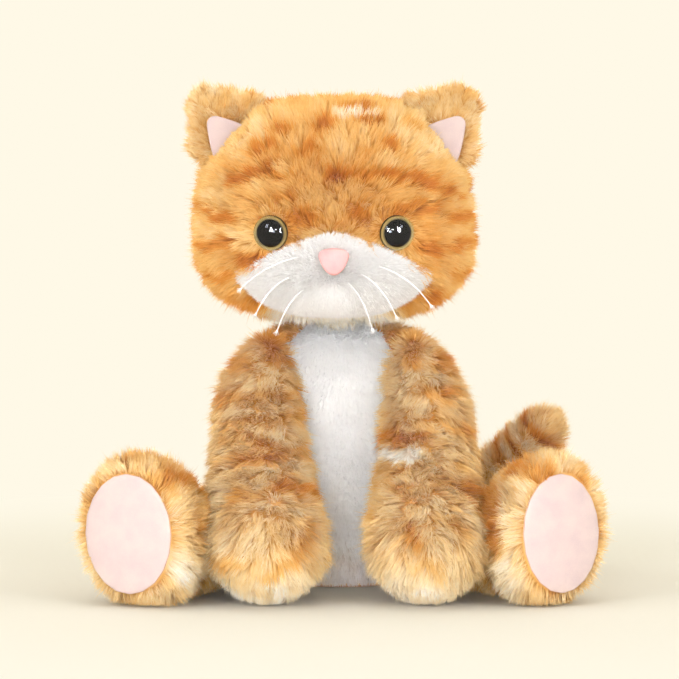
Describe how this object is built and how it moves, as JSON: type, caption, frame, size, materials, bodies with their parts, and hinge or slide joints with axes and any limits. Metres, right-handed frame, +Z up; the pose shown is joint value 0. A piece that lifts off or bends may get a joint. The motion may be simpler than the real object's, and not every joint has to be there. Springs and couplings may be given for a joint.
{
  "type": "plush cat",
  "caption": "Seated plush tabby cat with a white muzzle and belly, sewn limbs that lift, a head that turns and nods, and a tail that swings.",
  "frame": {"origin": "on the flat seat, under the middle of the body", "axes": "+Z up, -Y the way the cat looks, +X to the right as seen from in front"},
  "size_m": [0.2487, 0.194, 0.2463],
  "materials": {
    "plush_tabby": "long-pile plush, tabby printed",
    "plush_white": "white plush, shorter pile",
    "velour_pink": "short-nap pink velour",
    "nose_velour": "pink velour nose",
    "eye_lens": "clear moulded plastic dome",
    "eye_iris": "brass-olive paint under the dome",
    "eye_black": "black moulded plastic",
    "washer": "white polypropylene lock washer",
    "whisker": "white nylon bristle",
    "stuffing": "polyester fibre filling",
    "pellets": "cotton bag of plastic pellets"
  },
  "bodies": {
    "torso": {"belly_panel": "plush_white", "body_side_left": "plush_tabby", "body_side_right": "plush_tabby", "seat_panel": "plush_tabby", "body_stuffing": "stuffing", "pellet_bag": "pellets"},
    "neck": {"neck_plug": "plush_tabby"},
    "head": {"head_gusset": "plush_tabby", "head_side_left": "plush_tabby", "head_side_right": "plush_tabby", "head_stuffing": "stuffing", "muzzle_panel": "plush_white", "nose": "nose_velour", "eye_lens_left": "eye_lens", "eye_lens_right": "eye_lens", "eye_iris_left": "eye_iris", "eye_iris_right": "eye_iris", "eye_pupil_left": "eye_black", "eye_pupil_right": "eye_black", "eye_washer_left": "washer", "eye_washer_right": "washer", "whisker_left_upper": "whisker", "whisker_left_middle": "whisker", "whisker_left_lower": "whisker", "whisker_right_upper": "whisker", "whisker_right_middle": "whisker", "whisker_right_lower": "whisker", "ear_back_left": "plush_tabby", "ear_back_right": "plush_tabby", "ear_lining_left": "velour_pink", "ear_lining_right": "velour_pink"},
    "arm_left": {"arm_outer_left": "plush_tabby", "arm_inner_left": "plush_tabby", "arm_stuffing_left": "stuffing"},
    "arm_right": {"arm_outer_right": "plush_tabby", "arm_inner_right": "plush_tabby", "arm_stuffing_right": "stuffing"},
    "leg_left": {"leg_upper_left": "plush_tabby", "leg_lower_left": "plush_tabby", "sole_pad_left": "velour_pink", "leg_stuffing_left": "stuffing"},
    "leg_right": {"leg_upper_right": "plush_tabby", "leg_lower_right": "plush_tabby", "sole_pad_right": "velour_pink", "leg_stuffing_right": "stuffing"},
    "tail": {"tail_upper": "plush_tabby", "tail_under": "plush_tabby", "tail_stuffing": "stuffing"}
  },
  "joints": [
    {"name": "neck_turn", "type": "hinge", "parent": "torso", "child": "neck", "pos_m": [-0.00175, 0.0045, 0.12935], "axis": [0, 0, 1], "range_deg": [-35, 35]},
    {"name": "head_nod", "type": "hinge", "parent": "neck", "child": "head", "pos_m": [-0.00175, 0.0045, 0.12935], "axis": [1, 0, 0], "range_deg": [-12, 7]},
    {"name": "shoulder_left", "type": "hinge", "parent": "torso", "child": "arm_left", "pos_m": [-0.04095, -0.01047, 0.1067], "axis": [-1, 0, 0], "range_deg": [0, 28]},
    {"name": "shoulder_right", "type": "hinge", "parent": "torso", "child": "arm_right", "pos_m": [0.04095, -0.01047, 0.1067], "axis": [-1, 0, 0], "range_deg": [0, 28]},
    {"name": "hip_left", "type": "hinge", "parent": "torso", "child": "leg_left", "pos_m": [-0.06226, -0.01372, 0.024], "axis": [-0.7849, 0.366, -0.5], "range_deg": [0, 45]},
    {"name": "hip_right", "type": "hinge", "parent": "torso", "child": "leg_right", "pos_m": [0.06226, -0.01372, 0.024], "axis": [-0.7574, -0.4199, 0.5], "range_deg": [0, 45]},
    {"name": "tail_swing", "type": "hinge", "parent": "torso", "child": "tail", "pos_m": [0.02088, 0.06568, 0.022], "axis": [0, 0, 1], "range_deg": [-12, 15]}
  ]
}
